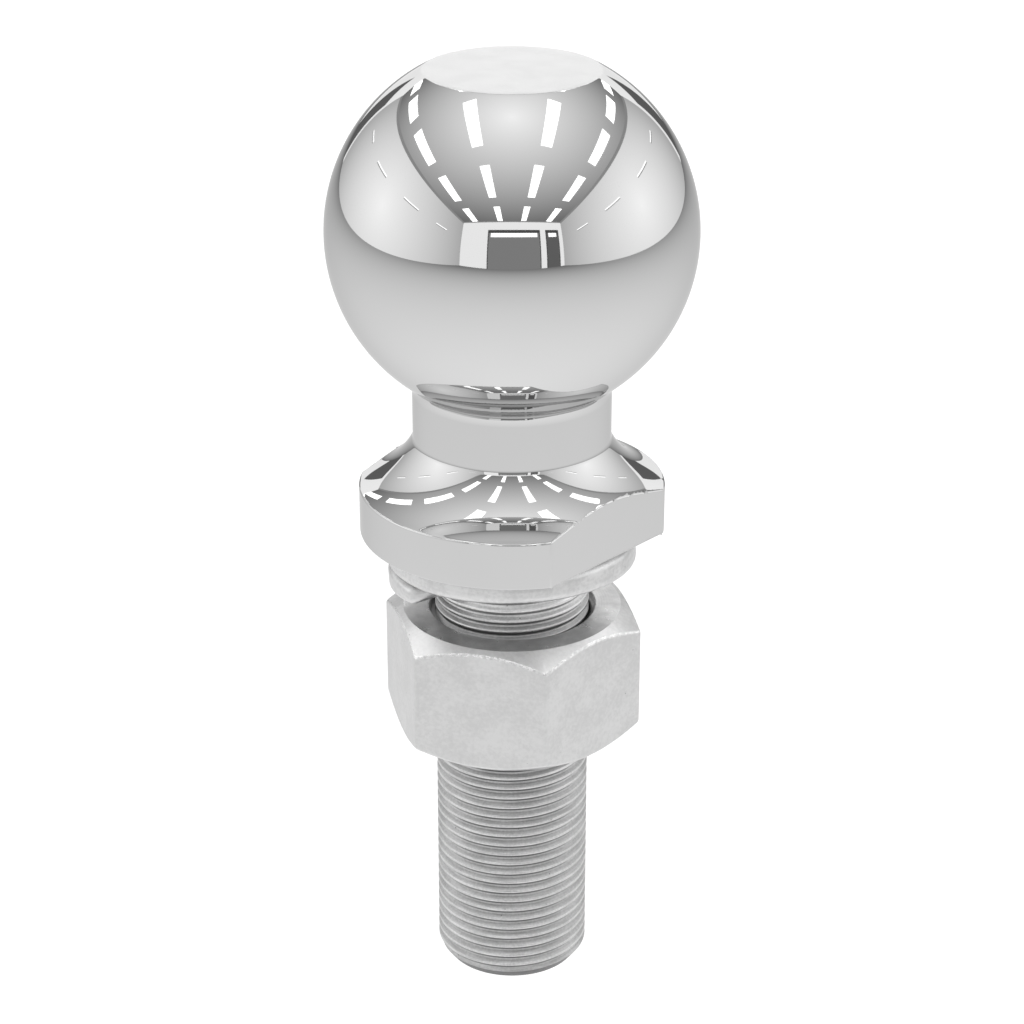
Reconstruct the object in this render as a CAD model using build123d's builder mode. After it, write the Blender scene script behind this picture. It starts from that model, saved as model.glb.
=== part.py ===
from build123d import *
import math
import os

# Gooseneck hitch ball: one forged and turned ball stud, a helical spring lock washer and a hex nut.
# Millimetres, +Z up. The origin is on the stud's axis, in the plane of the flange's underside,
# which is the face that is pulled down on the hitch. -Y is the front.

os.makedirs("parts", exist_ok=True)

INCH = 25.4

# ball
ball_diameter = 2.3125 * INCH
ball_centre = 50.2
top_flat_radius = 13.9
top_flat_fillet = 0.3

# neck and flange
neck_radius = 16.0
under_ball_fillet = 3.5
flange_radius = 24.8
flange_rim = 7.8  # height of the flange's edge
flare_top = 16.0  # height at which the flare leaves the neck
flare_radius = 15.0  # the flare is one hollow arc from the neck to the rim
neck_fillet = 2.0
rim_fillet = 0.4
wrench_size = 1.625 * INCH  # across the flange's two flats
wrench_angle = 48.0  # from the front towards +X, to the middle of the first flat

# shank, drawn at the major diameter of its 1 in - 14 right-hand thread
shank_radius = 0.5 * INCH
shank_length = 80.0
shank_end_radius = 11.2
shank_end_chamfer = 2.0

# hex nut, 1 in - 14
nut_width = 1.5 * INCH  # across flats
nut_height = 21.8
nut_top = -14.1
thread_clearance = 0.05  # between the shank and the nut's bore
nut_face_radius = 18.0  # flat bearing face inside the chamfer
nut_chamfer_angle = 33.0
nut_countersink = 1.0
nut_corner_angle = 14.4  # from the front towards +X, to the first corner

# lock washer: a left-hand coil of flat wire that sits slightly askew on the shank
washer_outer_radius = 20.4
washer_inner_radius = 14.0
washer_thickness = 4.5
washer_edge_radius = 1.3
coil_pitch = 4.65
coil_turns = 1.15
coil_start_angle = 220.0  # azimuth of the lower end, from +X
coil_start_height = -7.9
coil_tilt = 4.7
coil_tilt_angle = 316.0  # azimuth of the side that stands highest, from +X
coil_shift = 0.1  # how far it lies off the axis, towards +X
tip_rise = 1.7  # how much the lower end is worn away underneath
tip_length = 12.0  # the length of that slope along the coil

# worked out from the sizes above
ball_radius = ball_diameter / 2
top_flat_height = ball_centre + math.sqrt(ball_radius**2 - top_flat_radius**2)
neck_top = ball_centre - math.sqrt(ball_radius**2 - neck_radius**2)
nut_bottom = nut_top - nut_height
nut_bore_radius = shank_radius + thread_clearance
nut_corner_radius = nut_width / math.sqrt(3)
nut_chamfer_height = (nut_corner_radius - nut_face_radius) * math.tan(math.radians(nut_chamfer_angle))

# ---- ball stud ----
with BuildPart() as ball_stud:
    with BuildSketch(Plane.XZ) as stud_half:
        with BuildLine():
            Polyline(
                (0, -shank_length),
                (shank_end_radius, -shank_length),
                (shank_radius, -shank_length + shank_end_chamfer),
                (shank_radius, 0),
                (flange_radius, 0),
                (flange_radius, flange_rim),
            )
            RadiusArc((flange_radius, flange_rim), (neck_radius, flare_top), flare_radius)
            Line((neck_radius, flare_top), (neck_radius, neck_top))
            ThreePointArc(
                (neck_radius, neck_top),
                (ball_radius, ball_centre),
                (top_flat_radius, top_flat_height),
            )
            Polyline((top_flat_radius, top_flat_height), (0, top_flat_height), (0, -shank_length))
        make_face()
        for corner, radius in (
            ((neck_radius, neck_top), under_ball_fillet),
            ((neck_radius, flare_top), neck_fillet),
            ((flange_radius, flange_rim), rim_fillet),
            ((top_flat_radius, top_flat_height), top_flat_fillet),
        ):
            fillet(stud_half.vertices().sort_by_distance((corner[0], 0, corner[1]))[0], radius)
    revolve(axis=Axis.Z)
    # the two wrench flats, half a turn apart
    with BuildSketch(Plane.XY):
        with PolarLocations(wrench_size / 2, 2, start_angle=wrench_angle - 90):
            Rectangle(flange_radius, 2 * flange_radius, align=(Align.MIN, Align.CENTER))
    extrude(amount=flare_top, mode=Mode.SUBTRACT)
ball_stud.part.label = "ball_stud"
export_step(ball_stud.part, "parts/ball_stud.step")

# ---- lock washer ----
wire_width = washer_outer_radius - washer_inner_radius
coil_radius = washer_inner_radius + wire_width / 2
# drawn level, with the lower end at +X and the coil leaving it towards -Y
with BuildPart() as level_washer:
    with BuildLine() as coil:
        Helix(coil_pitch, coil_pitch * coil_turns, coil_radius, lefthand=True)
    with BuildSketch(Plane(origin=coil.line @ 0, x_dir=(1, 0, 0), z_dir=coil.line % 0)):
        RectangleRounded(wire_width, washer_thickness, washer_edge_radius)
    sweep(is_frenet=True)
    # the lower end thins towards its tip, from underneath
    wire_bottom = -washer_thickness / 2
    with BuildSketch(Plane.YZ.offset(coil_radius)):
        Polygon(
            (tip_rise, wire_bottom - tip_rise),
            (tip_rise, wire_bottom + tip_rise * (1 + tip_rise / tip_length)),
            (-tip_length, wire_bottom),
            (-tip_length, wire_bottom - tip_rise),
            align=None,
        )
    extrude(amount=wire_width, both=True, mode=Mode.SUBTRACT)
# then turned and tilted into its place
with BuildPart() as lock_washer:
    with Locations(Location((coil_shift, 0, coil_start_height), (0, 0, coil_tilt_angle))):
        with Locations(Location((0, 0, 0), (0, -coil_tilt, coil_start_angle - coil_tilt_angle))):
            add(level_washer.part)
lock_washer.part.label = "lock_washer"
export_step(lock_washer.part, "parts/lock_washer.step")

# ---- hex nut ----
with BuildPart() as hex_nut:
    with BuildSketch(Plane.XY.offset(nut_bottom)):
        RegularPolygon(nut_width / 2, 6, major_radius=False, rotation=nut_corner_angle - 90)
    extrude(amount=nut_height)
    # a turned blank takes the corners off both ends
    with BuildSketch(Plane.XZ):
        Polygon(
            (0, nut_bottom),
            (nut_face_radius, nut_bottom),
            (nut_corner_radius, nut_bottom + nut_chamfer_height),
            (nut_corner_radius, nut_top - nut_chamfer_height),
            (nut_face_radius, nut_top),
            (0, nut_top),
            align=None,
        )
    revolve(axis=Axis.Z, mode=Mode.INTERSECT)
    with Locations((0, 0, nut_top)):
        Hole(nut_bore_radius)
    bore_rims = hex_nut.edges().filter_by(GeomType.CIRCLE).sort_by(SortBy.RADIUS)[:2]
    chamfer(bore_rims, nut_countersink)
hex_nut.part.label = "hex_nut"
export_step(hex_nut.part, "parts/hex_nut.step")
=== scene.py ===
import math

import bmesh
import bpy
from mathutils import Matrix, Vector


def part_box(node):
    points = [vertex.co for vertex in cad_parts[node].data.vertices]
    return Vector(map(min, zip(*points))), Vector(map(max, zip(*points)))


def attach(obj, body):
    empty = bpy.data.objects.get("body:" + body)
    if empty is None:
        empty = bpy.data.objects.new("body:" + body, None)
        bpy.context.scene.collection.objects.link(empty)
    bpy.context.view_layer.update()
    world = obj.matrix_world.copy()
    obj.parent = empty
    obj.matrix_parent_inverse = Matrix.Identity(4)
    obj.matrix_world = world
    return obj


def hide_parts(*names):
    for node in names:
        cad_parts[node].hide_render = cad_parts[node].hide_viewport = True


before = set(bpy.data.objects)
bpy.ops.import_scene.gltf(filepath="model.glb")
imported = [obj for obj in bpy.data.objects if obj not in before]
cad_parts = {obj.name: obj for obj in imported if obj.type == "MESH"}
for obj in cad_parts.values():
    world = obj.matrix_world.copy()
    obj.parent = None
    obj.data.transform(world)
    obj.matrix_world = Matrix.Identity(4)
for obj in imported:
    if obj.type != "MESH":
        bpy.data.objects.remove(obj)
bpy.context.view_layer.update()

# Gooseneck hitch ball, in metres, in the CAD's frame: +Z up, the flange's underside at z = 0, -Y the front.
MM = 0.001
INCH = 0.0254

# ---------------------------------------------------------------- sizes
stud_low, stud_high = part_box("ball_stud")
nut_low, nut_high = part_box("hex_nut")

# ball and flange
ball_radius = 2.3125 * INCH / 2
ball_centre = 50.2 * MM
top_flat_height = stud_high[2]
top_flat_radius = math.sqrt(ball_radius**2 - (top_flat_height - ball_centre) ** 2)
top_flat_fillet = 0.3 * MM
neck_radius = 16.0 * MM
under_ball_fillet = 3.5 * MM
flange_radius = 24.8 * MM
flange_rim = 7.8 * MM
flare_top = 16.0 * MM
flare_radius = 15.0 * MM
neck_fillet = 2.0 * MM
rim_fillet = 0.4 * MM
wrench_size = 1.625 * INCH
wrench_angle = math.radians(48.0)  # from the front towards +X

# thread, 1 in - 14, right-hand
pitch = INCH / 14
thread_radius = 0.5 * INCH
crest_share = 0.26  # how much of the pitch is flat crest
root_share = 0.20  # and flat root
flank_share = (1 - crest_share - root_share) / 2
thread_depth = 0.34 * pitch  # plate and wear leave it shallower than new
thread_play = 0.05 * MM  # between the shank's thread and the nut's
shank_end = stud_low[2]
shank_end_radius = 11.2 * MM
shank_end_chamfer = 2.0 * MM
thread_full = -13.0 * MM  # the thread has its whole depth below this height
thread_gone = -4.0 * MM  # and none above this one
nut_travel = 60.0 * MM  # how far down the nut and the washer can go

# nut
nut_width = 1.5 * INCH
nut_bottom, nut_top = nut_low[2], nut_high[2]
nut_face_radius = 18.0 * MM
nut_chamfer_angle = math.radians(33.0)
nut_countersink = 1.0 * MM
nut_corner_round = 0.9 * MM
nut_edge_round = 0.65 * MM
nut_corner_angle = math.radians(14.4)  # from the front towards +X

# lock washer
washer_outer_radius = 20.4 * MM
washer_inner_radius = 14.0 * MM
washer_thickness = 4.5 * MM
washer_edge_radius = 1.3 * MM
coil_pitch = 4.65 * MM
coil_turns = 1.15
coil_start_angle = math.radians(220.0)
coil_start_height = -7.9 * MM
coil_tilt = math.radians(4.7)
coil_tilt_angle = math.radians(316.0)
coil_shift = 0.1 * MM
tip_rise = 1.7 * MM  # how much the underside rises where the first end is worn thin
tip_length = 12.0 * MM  # over this length
tip_nose, tail_nose = 1.6 * MM, 0.4 * MM  # the lengths over which the two ends close
tip_blunt, tail_blunt = 0.35, 0.9  # and the share of the section that their faces keep


# ---------------------------------------------------------------- helpers
def smoothstep(low, high, value):
    """0 at low, 1 at high and eased between. low may be the larger of the two."""
    t = min(max((value - low) / (high - low), 0.0), 1.0)
    return t * t * (3 - 2 * t)


def polar(radius, angle, z):
    """A point by its distance from the axis, its angle from +X towards +Y, and its height."""
    return Vector((radius * math.cos(angle), radius * math.sin(angle), z))


def add_object(name, bm, sharp_angle):
    """Makes an object of a mesh, welded and shaded smooth but for edges sharper than an angle in degrees."""
    bmesh.ops.remove_doubles(bm, verts=bm.verts, dist=1e-7)
    bmesh.ops.recalc_face_normals(bm, faces=bm.faces)
    mesh = bpy.data.meshes.new(name)
    bm.to_mesh(mesh)
    bm.free()
    mesh.polygons.foreach_set("use_smooth", [True] * len(mesh.polygons))
    mesh.set_sharp_from_angle(angle=math.radians(sharp_angle))
    piece = bpy.data.objects.new(name, mesh)
    bpy.context.scene.collection.objects.link(piece)
    return piece


def weighted_normals(piece):
    """Lets the large flat faces decide the shading of the narrow rounded ones beside them."""
    modifier = piece.modifiers.new("normals", "WEIGHTED_NORMAL")
    modifier.keep_sharp = True
    modifier.weight = 80


def arc_points(centre, radius, start, end, step):
    """Points on an arc in the (r, z) half plane, ends included, no further apart than step."""
    count = max(2, math.ceil(abs(end - start) * radius / step))
    return [
        (
            centre[0] + radius * math.cos(start + (end - start) * i / count),
            centre[1] + radius * math.sin(start + (end - start) * i / count),
        )
        for i in range(count + 1)
    ]


def rounded(points, radius, step):
    """A polyline in the (r, z) half plane with its corners rounded, as a list of points."""
    out = [points[0]]
    for before, corner, after in zip(points, points[1:], points[2:]):
        c = Vector(corner)
        a, b = (Vector(before) - c).normalized(), (Vector(after) - c).normalized()
        half = a.angle(b) / 2
        reach = radius / math.tan(half)
        centre = c + (a + b).normalized() * radius / math.sin(half)
        first, last = c + a * reach - centre, c + b * reach - centre
        turn = first.angle_signed(last) * -1
        count = max(3, math.ceil(abs(turn) * radius / step))
        for i in range(count + 1):
            out.append(tuple(centre + Matrix.Rotation(turn * i / count, 2) @ first))
    out.append(points[-1])
    return out


def revolve(bm, outline, segments):
    """Turns an outline of (r, z) points about Z. Points on the axis make one vertex."""
    rings = []
    for r, z in outline:
        if r < 1e-9:
            rings.append([bm.verts.new((0, 0, z))])
        else:
            rings.append([bm.verts.new(polar(r, math.tau * j / segments, z)) for j in range(segments)])
    for low, high in zip(rings, rings[1:]):
        for j in range(segments):
            k = (j + 1) % segments
            corners = [low[j % len(low)], low[k % len(low)], high[k % len(high)], high[j % len(high)]]
            face = list(dict.fromkeys(corners))
            if len(face) > 2:
                bm.faces.new(face)


def slice_off(bm, point, normal):
    """Cuts away what lies beyond a plane and closes the cut with one flat face. Returns the cut's edges."""
    geom = bm.verts[:] + bm.edges[:] + bm.faces[:]
    cut = bmesh.ops.bisect_plane(
        bm, geom=geom, dist=1e-8, plane_co=point, plane_no=normal, clear_outer=True, clear_inner=False
    )
    edges = [e for e in cut["geom_cut"] if isinstance(e, bmesh.types.BMEdge)]
    bmesh.ops.holes_fill(bm, edges=edges, sides=0)
    return edges


def weld_short_edges(bm, edges, shortest):
    """Pulls vertices that lie very near a cut onto it, so that the cut can be bevelled evenly."""
    on_cut = dict.fromkeys(v for e in edges if e.is_valid for v in e.verts)  # in a fixed order, unlike a set
    targets = {}
    for v in on_cut:
        for e in v.link_edges:
            other = e.other_vert(v)
            if other not in on_cut and other not in targets and e.calc_length() < shortest:
                targets[other] = v
    bmesh.ops.weld_verts(bm, targetmap=targets)


def edges_on_plane(bm, point, normal, tolerance=1e-5):
    """The border of the flat face that lies in a plane."""
    flat = [f for f in bm.faces if all(abs((v.co - point).dot(normal)) < tolerance for v in f.verts)]
    return [e for f in flat for e in f.edges if sum(g in flat for g in e.link_faces) < 2]


def helical_surface(bm, outline, low, high, limit, columns):
    """A right-hand thread's surface between two heights, always on the shank's own helix, so that the nut's
    thread runs in the shank's. outline lists (share of the pitch, radius) pairs, and limit(radius, z) gives
    the radius that the end shapes leave. Returns the lowest and highest rings."""
    points = len(outline)
    start = shank_end + pitch * math.floor((low - shank_end) / pitch)
    rows = (math.ceil((high - start) / pitch) + 2) * points
    made = {}

    def vertex(row, column):
        if column == columns:
            row, column = row + points, 0
        share, radius = outline[row % points]
        z = start + pitch * (row // points - 1 + share + column / columns)
        if z <= low or z >= high:
            z = low if z <= low else high
            row = "low" if z == low else "high"
        if (row, column) not in made:
            made[row, column] = bm.verts.new(polar(limit(radius, z), math.tau * column / columns, z))
        return made[row, column]

    for row in range(rows):
        for column in range(columns):
            corners = [
                vertex(row, column),
                vertex(row, column + 1),
                vertex(row + 1, column + 1),
                vertex(row + 1, column),
            ]
            face = list(dict.fromkeys(corners))
            if len(face) > 2 and bm.faces.get(face) is None:
                bm.faces.new(face)
    return [made["low", j] for j in range(columns)], [made["high", j] for j in range(columns)]


def thread_outline(radius):
    """One turn of the worn thread as (share of the pitch, radius), with its crest and root softened."""
    root = radius - thread_depth
    soft = 0.05 * MM
    edge, foot = crest_share / 2, crest_share / 2 + flank_share
    falling = [
        (edge - 0.03, radius),
        (edge, radius - soft),
        (edge + 0.03, radius - 2.2 * soft),
        (foot - 0.03, root + 2 * soft),
        (foot + 0.01, root),
    ]
    rising = [(1 - share, r) for share, r in reversed(falling)]
    return [(0.0, radius)] + falling + rising


# ---------------------------------------------------------------- materials
class Shader:
    """A Principled material with a few shorthands for its nodes."""

    def __init__(self, name, base, metallic, roughness):
        self.material = bpy.data.materials.new(name)
        self.material.use_nodes = True
        self.tree = self.material.node_tree
        self.main = self.tree.nodes["Principled BSDF"]
        self.main.inputs["Base Color"].default_value = (base, base, base, 1)
        self.main.inputs["Metallic"].default_value = metallic
        self.main.inputs["Roughness"].default_value = roughness
        self.position = self.node("ShaderNodeTexCoord").outputs["Object"]

    def node(self, kind, inputs=(), **settings):
        made = self.tree.nodes.new(kind)
        for key, value in settings.items():
            setattr(made, key, value)
        for key, value in dict(inputs).items():
            self.feed(made.inputs[key], value)
        return made

    def feed(self, socket, value):
        if isinstance(value, bpy.types.NodeSocket):
            self.tree.links.new(value, socket)
        else:
            socket.default_value = value

    def math(self, operation, *values):
        return self.node("ShaderNodeMath", dict(enumerate(values)), operation=operation).outputs[0]

    def noise(self, scale, detail=3.0, roughness=0.55):
        return self.node(
            "ShaderNodeTexNoise",
            {"Vector": self.position, "Scale": scale, "Detail": detail, "Roughness": roughness},
        ).outputs["Fac"]

    def streaks(self, scale, squeeze, detail=3.0):
        """Noise drawn out round the axis, like a lathe tool's or a die's marks."""
        flat = self.node("ShaderNodeVectorMath", {0: self.position, 1: (1, 1, squeeze)}, operation="MULTIPLY")
        return self.node(
            "ShaderNodeTexNoise", {"Vector": flat.outputs[0], "Scale": scale, "Detail": detail}
        ).outputs["Fac"]

    def spots(self, spacing, size):
        """1 inside small round spots scattered about spacing apart, 0 between them."""
        cells = self.node("ShaderNodeTexVoronoi", {"Vector": self.position, "Scale": 1 / spacing})
        return self.ramp(cells.outputs["Distance"], size / spacing, size / spacing * 0.4, 0.0, 1.0)

    def ramp(self, value, low, high, at_low, at_high):
        return self.node(
            "ShaderNodeMapRange",
            {"Value": value, "From Min": low, "From Max": high, "To Min": at_low, "To Max": at_high},
            interpolation_type="SMOOTHSTEP",
        ).outputs["Result"]

    def radius(self):
        flat = self.node("ShaderNodeVectorMath", {0: self.position, 1: (1, 1, 0)}, operation="MULTIPLY")
        return self.node("ShaderNodeVectorMath", {0: flat.outputs[0]}, operation="LENGTH").outputs["Value"]

    def height(self):
        return self.node("ShaderNodeSeparateXYZ", {0: self.position}).outputs["Z"]

    def base(self, value):
        grey = self.node("ShaderNodeCombineColor", {0: value, 1: value, 2: value})
        self.feed(self.main.inputs["Base Color"], grey.outputs[0])

    def rough(self, value):
        self.feed(self.main.inputs["Roughness"], value)

    def bump(self, value, depth):
        bump = self.node("ShaderNodeBump", {"Height": value, "Distance": depth, "Strength": 1.0})
        self.feed(self.main.inputs["Normal"], bump.outputs[0])


def chrome_material():
    """Mirror chrome with the faintest cloudiness from handling."""
    s = Shader("chrome", 0.70, 1.0, 0.03)
    s.main.inputs["Specular Tint"].default_value = (0.8, 0.8, 0.8, 1)
    cloud = s.noise(60.0, detail=4.0)
    s.rough(s.ramp(cloud, 0.35, 0.75, 0.015, 0.05))
    s.base(s.ramp(s.noise(25.0), 0.3, 0.7, 0.70, 0.72))
    return s.material


def faced_chrome_material():
    """The ball's top flat: faced on a lathe, with fine rings under the plating."""
    s = Shader("faced_chrome", 0.68, 1.0, 0.18)
    rings = s.math("SINE", s.math("MULTIPLY", s.radius(), math.tau / (0.25 * MM)))
    grain = s.math("MULTIPLY", s.noise(2500.0), 1.5)
    s.rough(s.ramp(s.noise(220.0, detail=5.0), 0.3, 0.7, 0.20, 0.24))
    s.base(s.ramp(s.noise(90.0), 0.3, 0.7, 0.675, 0.69))
    s.bump(s.math("ADD", rings, grain), 0.0006 * MM)
    return s.material


def zinc_material(name, base, roughness, brushed=0.0):
    """Satin zinc plate: mottled at two scales, finely grained, with a few small pits.
    brushed adds lines round the axis."""
    s = Shader(name, base, 1.0, roughness)
    mottle = s.math("ADD", s.noise(170.0, detail=5.0), s.math("MULTIPLY", s.noise(1500.0, detail=4.0), 0.9))
    lines = s.math("MULTIPLY", s.streaks(220.0, 9.0, detail=5.0), brushed)
    mottle = s.math("ADD", mottle, lines)
    pit = s.spots(2.9 * MM, 0.15 * MM)
    middle = 0.95 + 0.5 * brushed
    clean = s.ramp(mottle, middle - 0.25, middle + 0.25, base - 0.05 - 0.05 * brushed, base + 0.05)
    s.base(s.math("MULTIPLY", clean, s.ramp(pit, 0.0, 1.0, 1.0, 0.5)))
    s.rough(s.ramp(mottle, middle - 0.3, middle + 0.3, roughness - 0.04, roughness + 0.06))
    grain = s.math("ADD", s.noise(3200.0, detail=2.0), s.noise(700.0))
    grain = s.math("ADD", grain, s.math("MULTIPLY", lines, 1.5))
    s.bump(s.math("SUBTRACT", grain, s.math("MULTIPLY", pit, 2.0)), 0.014 * MM)
    return s.material


def worn_and_highlit_zinc_material():
    """The nut's edges, where the plate is rubbed bright and a little ragged: wear, and also a painted
    highlight along the upper edges and the countersink's lip.
    """
    s = Shader("worn_and_highlit_zinc", 0.85, 1.0, 0.28)
    ragged = s.noise(1900.0, detail=4.0)
    s.base(s.ramp(ragged, 0.35, 0.65, 0.72, 0.95))
    s.rough(s.ramp(ragged, 0.35, 0.65, 0.38, 0.24))
    s.bump(ragged, 0.05 * MM)
    return s.material


def turned_material():
    """The faced ends of the nut and the shank, with the lathe tool's rings."""
    s = Shader("turned_steel", 0.70, 1.0, 0.3)
    rings = s.math("SINE", s.math("MULTIPLY", s.radius(), math.tau / (0.45 * MM)))
    patch = s.noise(330.0, detail=5.0)
    s.base(s.ramp(patch, 0.3, 0.7, 0.66, 0.82))
    s.rough(s.ramp(patch, 0.3, 0.7, 0.38, 0.26))
    s.bump(s.math("ADD", rings, s.math("MULTIPLY", s.noise(1500.0), 2.0)), 0.006 * MM)
    return s.material


def thread_material(name, crest_radius, tone):
    """Thread beneath zinc: its crests lighter, its flanks duller and finely scored round the axis, with small
    pits, and painted shade that darkens the undersides. The stretch next to the washer, where it runs out, is
    rubbed brighter."""
    s = Shader(name, tone, 1.0, 0.4)
    crest = s.ramp(s.radius(), crest_radius - 0.14 * MM, crest_radius - 0.03 * MM, 0.0, 1.0)
    rubbed_above = -9.5 * MM
    rubbed = s.ramp(s.height(), thread_full, rubbed_above, 0.0, 1.0)
    scored = s.streaks(160.0, 14.0, detail=6.0)
    grain = s.noise(2400.0, detail=4.0)
    light = s.math("ADD", s.math("MULTIPLY", crest, 0.14), s.math("MULTIPLY", rubbed, 0.2))
    spread = s.math("ADD", s.math("MULTIPLY", scored, 0.7), s.math("MULTIPLY", grain, 0.5))
    light = s.math("MULTIPLY", s.math("ADD", light, tone), s.ramp(spread, 0.4, 0.8, 0.84, 1.16))
    # painted shade: faces that point downwards are darkened, down to 0.3 of their colour
    facing = s.node("ShaderNodeSeparateXYZ", {0: s.node("ShaderNodeNewGeometry").outputs["Normal"]})
    painted_underside_shade = s.ramp(facing.outputs["Z"], -0.6, -0.15, 0.3, 1.0)
    light = s.math("MULTIPLY", light, painted_underside_shade)
    s.base(s.math("MULTIPLY", light, s.ramp(s.spots(2.3 * MM, 0.16 * MM), 0.0, 1.0, 1.0, 0.45)))
    s.rough(s.ramp(s.math("ADD", crest, rubbed), 0.0, 1.0, 0.44, 0.3))
    s.bump(s.math("ADD", s.math("MULTIPLY", scored, 2.5), grain), 0.012 * MM)
    return s.material


# ---------------------------------------------------------------- the ball, its neck and its flange
def stud_outline():
    """The half section from the flange's underside to the top flat, as (r, z) points, in two lists that
    meet halfway up the neck."""
    quarter = math.pi / 2
    coarse, fine, very_fine = 0.6 * MM, 0.35 * MM, 0.06 * MM  # the steps along the arcs
    bottom_edge = 0.25 * MM
    chord = Vector((neck_radius - flange_radius, flare_top - flange_rim))
    across = Vector((chord.y, -chord.x)).normalized()
    flare = Vector((flange_radius, flange_rim)) + chord / 2
    flare += across * math.sqrt(flare_radius**2 - (chord.length / 2) ** 2)

    rim_r = flange_radius - rim_fillet
    rim_drop = math.sqrt((flare_radius + rim_fillet) ** 2 - (flare.x - rim_r) ** 2)
    rim = Vector((rim_r, flare.y - rim_drop))
    root_r = neck_radius + neck_fillet
    root_drop = math.sqrt((flare_radius - neck_fillet) ** 2 - (flare.x - root_r) ** 2)
    root = Vector((root_r, flare.y - root_drop))
    throat_r = neck_radius + under_ball_fillet
    ball = Vector((0, ball_centre))
    throat_drop = math.sqrt((ball_radius + under_ball_fillet) ** 2 - throat_r**2)
    throat = Vector((throat_r, ball_centre - throat_drop))
    crown_z = top_flat_height - top_flat_fillet
    crown_r = math.sqrt((ball_radius - top_flat_fillet) ** 2 - (crown_z - ball_centre) ** 2)
    crown = Vector((crown_r, crown_z))

    def heading(start, end):
        return math.atan2(end.y - start.y, end.x - start.x)

    to_rim, to_root = heading(flare, rim), heading(flare, root)
    low = [(flange_radius * share, 0) for share in (0, 0.3, 0.6, 0.85)]
    low += arc_points((flange_radius - bottom_edge, bottom_edge), bottom_edge, -quarter, 0, very_fine)
    low += [(flange_radius, flange_rim * share) for share in (0.3, 0.6)]
    low += arc_points(rim, rim_fillet, 0, to_rim + math.pi, very_fine)
    low += arc_points(flare, flare_radius, to_rim, to_root, fine)[1:]
    low += arc_points(root, neck_fillet, to_root, -math.pi, 0.1 * MM)[1:]
    middle = (neck_radius, (root.y + throat.y) / 2)
    low.append(middle)
    high = [middle]
    up = heading(throat, ball)
    high += arc_points(throat, under_ball_fillet, math.pi, up, fine)
    to_crown = heading(ball, crown)
    high += arc_points(ball, ball_radius, up - math.pi, to_crown, coarse)[1:]
    high += arc_points(crown, top_flat_fillet, to_crown, quarter, 0.05 * MM)[1:]
    high += [(top_flat_radius * share, top_flat_height) for share in (0.9, 0.6, 0.3, 0.0)]
    return low, high


def make_ball_stud():
    """The ball, its top flat, the neck and the flange with its two wrench flats."""
    segments = 320
    edge_bevel = 0.22 * MM
    shortest_edge = 0.28 * MM
    low, high = stud_outline()
    bm = bmesh.new()
    revolve(bm, low, segments)
    bmesh.ops.recalc_face_normals(bm, faces=bm.faces)
    for side in (0, math.pi):
        normal = polar(1, wrench_angle - math.pi / 2 + side, 0)
        point = normal * wrench_size / 2
        cut = slice_off(bm, point, normal)
        weld_short_edges(bm, cut, shortest_edge)
        border = edges_on_plane(bm, point, normal)
        bmesh.ops.bevel(bm, geom=border, offset=edge_bevel, segments=3, profile=0.5, affect="EDGES")
    revolve(bm, high, segments)
    piece = add_object("ball_and_flange", bm, sharp_angle=55.0)
    weighted_normals(piece)
    piece.data.materials.append(chrome_material())
    piece.data.materials.append(faced_chrome_material())
    for face in piece.data.polygons:
        on_top = face.center.z > top_flat_height - 0.01 * MM
        face.material_index = 1 if on_top else 0
    return piece


# ---------------------------------------------------------------- the threaded shank
def make_shank():
    """The threaded shank, chamfered at its end, with the thread running out below the flange."""
    columns = 128
    top = 1.0 * MM  # a little way into the flange

    def limit(radius, z):
        fade = smoothstep(thread_gone, thread_full, z)
        threaded = thread_radius - (thread_radius - radius) * fade
        cone = shank_end_radius + (z - shank_end) * (thread_radius - shank_end_radius) / shank_end_chamfer
        return min(threaded, cone)

    bm = bmesh.new()
    lowest, highest = helical_surface(bm, thread_outline(thread_radius), shank_end, top, limit, columns)
    inner = lowest
    for share in (0.97, 0.6, 0.25):
        radius = shank_end_radius * share
        ring = [bm.verts.new(polar(radius, math.tau * j / columns, shank_end)) for j in range(columns)]
        for j in range(columns):
            k = (j + 1) % columns
            bm.faces.new((inner[j], inner[k], ring[k], ring[j]))
        inner = ring
    bm.faces.new(inner)
    bm.faces.new(highest)
    piece = add_object("threaded_shank", bm, sharp_angle=80.0)
    piece.data.materials.append(thread_material("thread", thread_radius, 0.56))
    piece.data.materials.append(turned_material())
    for face in piece.data.polygons:
        on_end = abs(face.center.z - shank_end) < 1e-6
        face.material_index = 1 if on_end else 0
    return piece


# ---------------------------------------------------------------- the hex nut
def hexagon_radius(angle):
    """The radius of the nut's rounded hexagon, by the angle from the nearest corner."""
    centre = (nut_width / 2 - nut_corner_round) / math.cos(math.pi / 6)
    flat_starts = math.pi / 6 - math.atan2(centre / 2, nut_width / 2)
    if angle > flat_starts:
        return nut_width / 2 / math.cos(math.pi / 6 - angle)
    return centre * math.cos(angle) + math.sqrt(nut_corner_round**2 - (centre * math.sin(angle)) ** 2)


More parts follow.
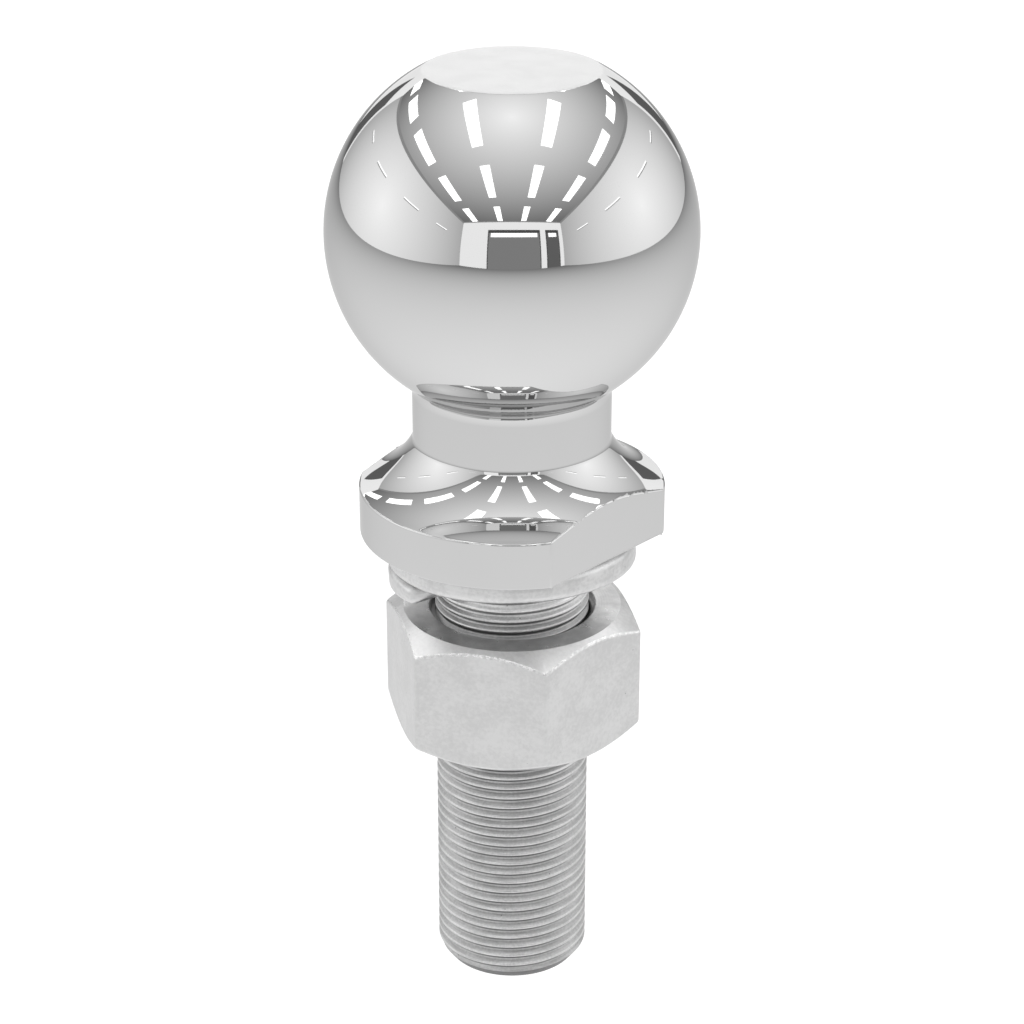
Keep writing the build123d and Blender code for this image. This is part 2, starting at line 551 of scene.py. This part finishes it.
def make_nut():
    """The nut: a rounded hexagon with chamfered ends round a threaded bore with countersunk mouths."""
    zinc, turned, threaded, rubbed = range(4)  # the material slots
    columns = 192
    per_side = columns // 6
    side_turn = math.tau / 6
    crowding = 0.9  # how strongly the outside's columns gather at the corners
    bore = thread_radius + thread_play
    mouth = bore + nut_countersink
    lip = 0.12 * MM  # the broken edge round the countersink
    low, high = nut_bottom + lip, nut_top - lip
    first_corner = nut_corner_angle - math.pi / 2
    first_column = round(first_corner / math.tau * columns)  # the bore's column nearest to it
    bm = bmesh.new()
    sections = []
    for column in range(columns):
        share = column % per_side / per_side
        from_corner = side_turn * (share - crowding * math.sin(math.tau * share) / math.tau)
        angle = first_corner + side_turn * (column // per_side) + from_corner
        radius = hexagon_radius(min(from_corner, side_turn - from_corner))
        drop = (radius - nut_face_radius) * math.tan(nut_chamfer_angle)
        corners = [(nut_face_radius, nut_bottom), (radius, nut_bottom + drop)]
        corners += [(radius, nut_top - drop), (nut_face_radius, nut_top)]
        outside = rounded(corners, nut_edge_round, 0.2 * MM)
        even = math.tau * (column + first_column) / columns
        section = [polar(mouth, even, low), polar(mouth + lip, even, nut_bottom)]
        section += [polar(r, angle, z) for r, z in outside]
        section += [polar(mouth + lip, even, nut_top), polar(mouth, even, high)]
        sections.append([bm.verts.new(point) for point in section])
    arc = (len(outside) - 2) // 2  # how many points each rounded edge has
    upper_arc_highlight = range(3 + arc, 2 + 2 * arc)  # the rows of faces on the upper one
    for section, following in zip(sections, sections[1:] + sections[:1]):
        for row in range(len(section) - 1):
            face = bm.faces.new((section[row], following[row], following[row + 1], section[row + 1]))
            # the upper rounded edges take the brightened worn zinc: wear, and a painted highlight where light
            # catches them
            face.material_index = rubbed if row in upper_arc_highlight else zinc

    def limit(radius, z):
        return max(radius, mouth - min(z - low, high - z))

    helical_surface(bm, thread_outline(bore), low, high, limit, columns)
    piece = add_object("hex_nut_body", bm, sharp_angle=26.0)
    weighted_normals(piece)
    piece.data.materials.append(zinc_material("nut_zinc", 0.74, 0.36))
    piece.data.materials.append(turned_material())
    # painted shade: the nut's thread, down in the bore, takes a far darker tone (0.3) than the shank's thread
    # (0.56)
    piece.data.materials.append(thread_material("nut_thread_painted_shade", bore, 0.3))
    piece.data.materials.append(worn_and_highlit_zinc_material())
    for face in piece.data.polygons:
        out = face.center.xy.length
        at_end = min(face.center.z - nut_bottom, nut_top - face.center.z) < 1e-6
        if out < mouth - 1e-6:
            face.material_index = threaded
        elif out < mouth + lip:
            # the countersink's lip is brightened the same way: wear, and a painted highlight
            face.material_index = rubbed
        elif at_end and out < nut_face_radius:
            face.material_index = turned
    return piece


# ---------------------------------------------------------------- the lock washer
def make_washer():
    """The lock washer: a tilted left-hand coil of rounded bar, worn thin at its first end."""
    steps = 260
    corner_steps = 5
    width = washer_outer_radius - washer_inner_radius
    middle = washer_inner_radius + width / 2
    placed = (
        Matrix.Translation((coil_shift, 0, coil_start_height))
        @ Matrix.Rotation(coil_tilt_angle, 4, "Z")
        @ Matrix.Rotation(-coil_tilt, 4, "Y")
        @ Matrix.Rotation(coil_start_angle - coil_tilt_angle, 4, "Z")
    )
    section = []
    for corner in range(4):
        start = corner * math.pi / 2
        cx = (width / 2 - washer_edge_radius) * (1 if corner in (0, 3) else -1)
        cz = (washer_thickness / 2 - washer_edge_radius) * (1 if corner in (0, 1) else -1)
        for i in range(corner_steps + 1):
            a = start + math.pi / 2 * i / corner_steps
            section.append((cx + washer_edge_radius * math.cos(a), cz + washer_edge_radius * math.sin(a)))

    length = coil_turns * math.tau * middle
    bm = bmesh.new()
    rings = []
    for i in range(steps + 1):
        along = length * i / steps
        angle = -along / middle
        near = min(along / tip_nose, 1.0)
        far = min((length - along) / tail_nose, 1.0)
        tip_share = max(math.sqrt(1 - (1 - near) ** 2), tip_blunt)
        shrink = tip_share * max(math.sqrt(1 - (1 - far) ** 2), tail_blunt)
        worn = tip_rise * max(1 - along / tip_length, 0.0)
        ring = []
        for x, z in section:
            floor = -washer_thickness / 2 + worn
            z = floor + (z + washer_thickness / 2) * (washer_thickness - worn) / washer_thickness
            centre = floor / 2 + washer_thickness / 4
            z = centre + (z - centre) * shrink
            spot = polar(middle + x * shrink, angle, z + coil_pitch * -angle / math.tau)
            ring.append(bm.verts.new(placed @ spot))
        rings.append(ring)
    count = len(section)
    for low, high in zip(rings, rings[1:]):
        for j in range(count):
            k = (j + 1) % count
            bm.faces.new((low[j], low[k], high[k], high[j]))
    bm.faces.new(rings[0])
    bm.faces.new(rings[-1])
    piece = add_object("lock_washer_coil", bm, sharp_angle=50.0)
    piece.data.materials.append(zinc_material("washer_zinc", 0.76, 0.36, brushed=0.7))
    return piece


ball_and_flange = make_ball_stud()
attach(ball_and_flange, "ball_stud")
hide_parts("ball_stud")

threaded_shank = make_shank()
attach(threaded_shank, "ball_stud")

hex_nut_body = make_nut()
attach(hex_nut_body, "hex_nut")
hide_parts("hex_nut")

lock_washer_coil = make_washer()
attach(lock_washer_coil, "lock_washer")
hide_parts("lock_washer")


# ---------------------------------------------------------------- stage
# The room round the object only shows in its reflections, and the camera looks straight through it, at a
# pale floor and a white world. The room's sizes are in units of the ceiling's height above the ball's centre.
unit = 3.0
room_half_width = 1.3
room_back, room_front = 2.1, -2.18  # along Y; the camera is on the front side
room_floor = -0.15
skin = 0.004  # between a wall and what hangs on it


def light_material(name, strength, centre=None, reach=None):
    """Even light, or light that fades away from a centre, which is in room units."""
    material = bpy.data.materials.new(name)
    material.use_nodes = True
    nodes, links = material.node_tree.nodes, material.node_tree.links
    nodes.clear()
    output = nodes.new("ShaderNodeOutputMaterial")
    emission = nodes.new("ShaderNodeEmission")
    emission.inputs["Strength"].default_value = strength
    links.new(emission.outputs[0], output.inputs["Surface"])
    if centre is not None:
        place = nodes.new("ShaderNodeNewGeometry")
        away = nodes.new("ShaderNodeVectorMath")
        away.operation = "DISTANCE"
        away.inputs[1].default_value = Vector(centre) * unit + Vector((0, 0, ball_centre))
        links.new(place.outputs["Position"], away.inputs[0])
        fall = nodes.new("ShaderNodeMath")
        fall.operation = "DIVIDE"
        fall.inputs[1].default_value = -reach * unit
        links.new(away.outputs["Value"], fall.inputs[0])
        power = nodes.new("ShaderNodeMath")
        power.operation = "EXPONENT"
        links.new(fall.outputs[0], power.inputs[0])
        scale = nodes.new("ShaderNodeMath")
        scale.operation = "MULTIPLY"
        scale.inputs[1].default_value = strength
        links.new(power.outputs[0], scale.inputs[0])
        links.new(scale.outputs[0], emission.inputs["Strength"])
    return material


def card(name, low, high, material):
    """A flat rectangle between two corners, in room units. One of the three sizes is zero."""
    low, high = Vector(low), Vector(high)
    flat = min(range(3), key=lambda i: abs(high[i] - low[i]))
    a, b = [i for i in range(3) if i != flat]
    corners = []
    for along, across in ((0, 0), (1, 0), (1, 1), (0, 1)):
        corner = low.copy()
        corner[a] = (low, high)[along][a]
        corner[b] = (low, high)[across][b]
        corners.append(corner * unit + Vector((0, 0, ball_centre)))
    mesh = bpy.data.meshes.new(name)
    mesh.from_pydata(corners, [], [(0, 1, 2, 3)])
    mesh.materials.append(material)
    piece = bpy.data.objects.new(name, mesh)
    bpy.context.scene.collection.objects.link(piece)
    piece.visible_camera = False
    return piece


def build_side_walls(strip, shade):
    """The two side walls, each with a dark cove along the ceiling and a row of four thin lights."""
    cove_low = 0.95
    line_low, line_width, shade_width = 0.53, 0.018, 0.012
    half_length, spacing, rearmost = 0.18, 0.84, 1.19
    for side, x in (("left", -room_half_width), ("right", room_half_width)):
        glow = light_material(side + "_wall_light", 1.26, (x, 0, 0.28), 2.7)
        card("room_%s_wall" % side, (x, room_front, room_floor), (x, room_back, 1), glow)
        inside = x - math.copysign(skin, x)
        card("room_%s_cove" % side, (inside, room_front, cove_low), (inside, room_back, 1), shade)
        for row in range(4):
            middle = rearmost - spacing * row
            start, end = middle - half_length, middle + half_length
            line = "wall_line_%s_%d" % (side, row)
            card(line, (inside, start, line_low), (inside, end, line_low + line_width), strip)
            below = "wall_shade_%s_%d" % (side, row)
            card(below, (inside, start, line_low - shade_width), (inside, end, line_low), shade)


def build_end_walls(strip, shade):
    """The wall behind the camera, with two framed doors, and the far wall, with two plain ones."""
    w, front, back, floor = room_half_width, room_front, room_back, room_floor
    card("room_front_wall", (-w, front, floor), (w, front, 1), light_material("end_wall_light", 1.12))
    card("room_back_wall", (-w, back, floor), (w, back, 1), light_material("back_wall_light", 1.2))
    near = front + skin
    card("room_front_cove", (-w, near, 0.97), (w, near, 1), shade)
    door_top, frame_top, frame_width = 0.69, 0.77, 0.025
    transom_low, transom_inset = 0.59, 0.05
    dark = light_material("door_dark", 0.27)
    darker = light_material("door_darker", 0.15)
    darkest = light_material("door_frame_dark", 0.09)
    for name, left, right, tone in (("wide", -0.55, 0.65, dark), ("narrow", 0.84, 1.16, darker)):
        outer_left, outer_right = left - frame_width, right + frame_width
        card("door_frame_" + name, (outer_left, near, floor), (outer_right, near, frame_top), darkest)
        card("door_" + name, (left, near + skin, floor), (right, near + skin, door_top), tone)
        low = (left + transom_inset, near + 2 * skin, transom_low)
        card("transom_" + name, low, (right - transom_inset, near + 2 * skin, door_top), strip)
    back_door_width, back_door_top = 0.45, 0.55
    for name, left in (("left", -1.2), ("right", 0.72)):
        low, high = (left, back - skin, floor), (left + back_door_width, back - skin, back_door_top)
        card("back_door_" + name, low, high, darker)


def build_lamps():
    """Four columns of five lamps on the ceiling. The columns draw in a little towards the front."""
    lamp = light_material("lamp_light", 2.4)
    half_length, spacing, rearmost = 0.32, 0.92, 1.84
    inner, inner_width, inner_lean = 0.343, 0.12, 0.09
    outer, outer_width, outer_lean = 1.0, 0.155, 0.03
    columns = (
        (-outer, outer_width, outer_lean),
        (-inner, inner_width, inner_lean),
        (inner, inner_width, inner_lean),
        (outer, outer_width, outer_lean),
    )
    for column, (reach, width, lean) in enumerate(columns):
        for row in range(5):
            y = rearmost - spacing * row
            x = reach * (1 + lean * min(y, 0))
            low = (x - width / 2, y - half_length, 1 - skin)
            high = (x + width / 2, y + half_length, 1 - skin)
            card("ceiling_lamp_%d_%d" % (column, row), low, high, lamp)


def build_room():
    """Glowing cards for everything round the object that its chrome mirrors."""
    w, front, back, floor = room_half_width, room_front, room_back, room_floor
    strip = light_material("strip_light", 1.7)
    shade = light_material("shade_dark", 0.33)
    above = light_material("ceiling_light", 1.22, (0, 0, 1), 1.35)
    card("room_ceiling", (-w, front, 1), (w, back, 1), above)
    below = light_material("floor_light", 1.03, (0, 0, floor), 1.45)
    card("room_floor", (-w, front, floor), (w, back, floor), below)
    build_side_walls(strip, shade)
    build_end_walls(strip, shade)
    build_lamps()


def build_floor():
    """The pale floor that the camera sees. It takes soft shadows and shines a little by itself."""
    reach = 6.0
    drop = 4 * MM  # below the nut at the end of its travel
    z = nut_bottom - nut_travel - drop
    mesh = bpy.data.meshes.new("floor")
    corners = [(-reach, -reach, z), (reach, -reach, z), (reach, reach, z), (-reach, reach, z)]
    mesh.from_pydata(corners, [], [(0, 1, 2, 3)])
    floor = bpy.data.objects.new("floor", mesh)
    bpy.context.scene.collection.objects.link(floor)
    material = bpy.data.materials.new("pale_floor")
    material.use_nodes = True
    shader = material.node_tree.nodes["Principled BSDF"]
    shader.inputs["Base Color"].default_value = (0.8, 0.8, 0.8, 1)
    shader.inputs["Roughness"].default_value = 1.0
    shader.inputs["Specular IOR Level"].default_value = 0.0
    shader.inputs["Emission Color"].default_value = (1, 1, 1, 1)
    shader.inputs["Emission Strength"].default_value = 0.42
    mesh.materials.append(material)
    floor.visible_glossy = False


def build_side_lights(pieces):
    """Two soft boxes, high on the left and on the right, that light only these pieces."""
    size = 0.26
    boxes = (("left", (-0.34, 0.16, 0.40), 0.16), ("right", (0.36, 0.20, 0.36), 0.12))
    lit = bpy.data.collections.new("side_lit_pieces")
    for piece in pieces:
        lit.objects.link(piece)
    for name, place, watts in boxes:
        soft = bpy.data.lights.new("soft_box_" + name, "AREA")
        soft.size = size
        soft.energy = watts
        holder = bpy.data.objects.new("soft_box_" + name, soft)
        holder.location = place
        aim = Vector((0, 0, nut_top)) - Vector(place)
        holder.rotation_euler = aim.to_track_quat("-Z", "Y").to_euler()
        holder.light_linking.receiver_collection = lit
        bpy.context.scene.collection.objects.link(holder)


def build_world():
    """An even white world."""
    world = bpy.data.worlds.new("white")
    world.use_nodes = True
    world.node_tree.nodes["Background"].inputs["Color"].default_value = (1, 1, 1, 1)
    bpy.context.scene.world = world
    bpy.context.scene.view_settings.view_transform = "Standard"


def build_camera():
    """The camera stands in front of the object and looks down on it."""
    distance, height = 0.4128, 0.1886
    looks_down = 24.3  # degrees below the horizon
    camera = bpy.data.cameras.new("camera")
    camera.lens = 97.66
    camera.sensor_width = 36.0
    viewer = bpy.data.objects.new("camera", camera)
    viewer.location = (0, -distance, height)
    viewer.rotation_euler = (math.radians(90 - looks_down), 0, 0)
    bpy.context.scene.collection.objects.link(viewer)
    bpy.context.scene.camera = viewer


build_room()
build_floor()
build_side_lights([hex_nut_body, lock_washer_coil])
build_world()
build_camera()
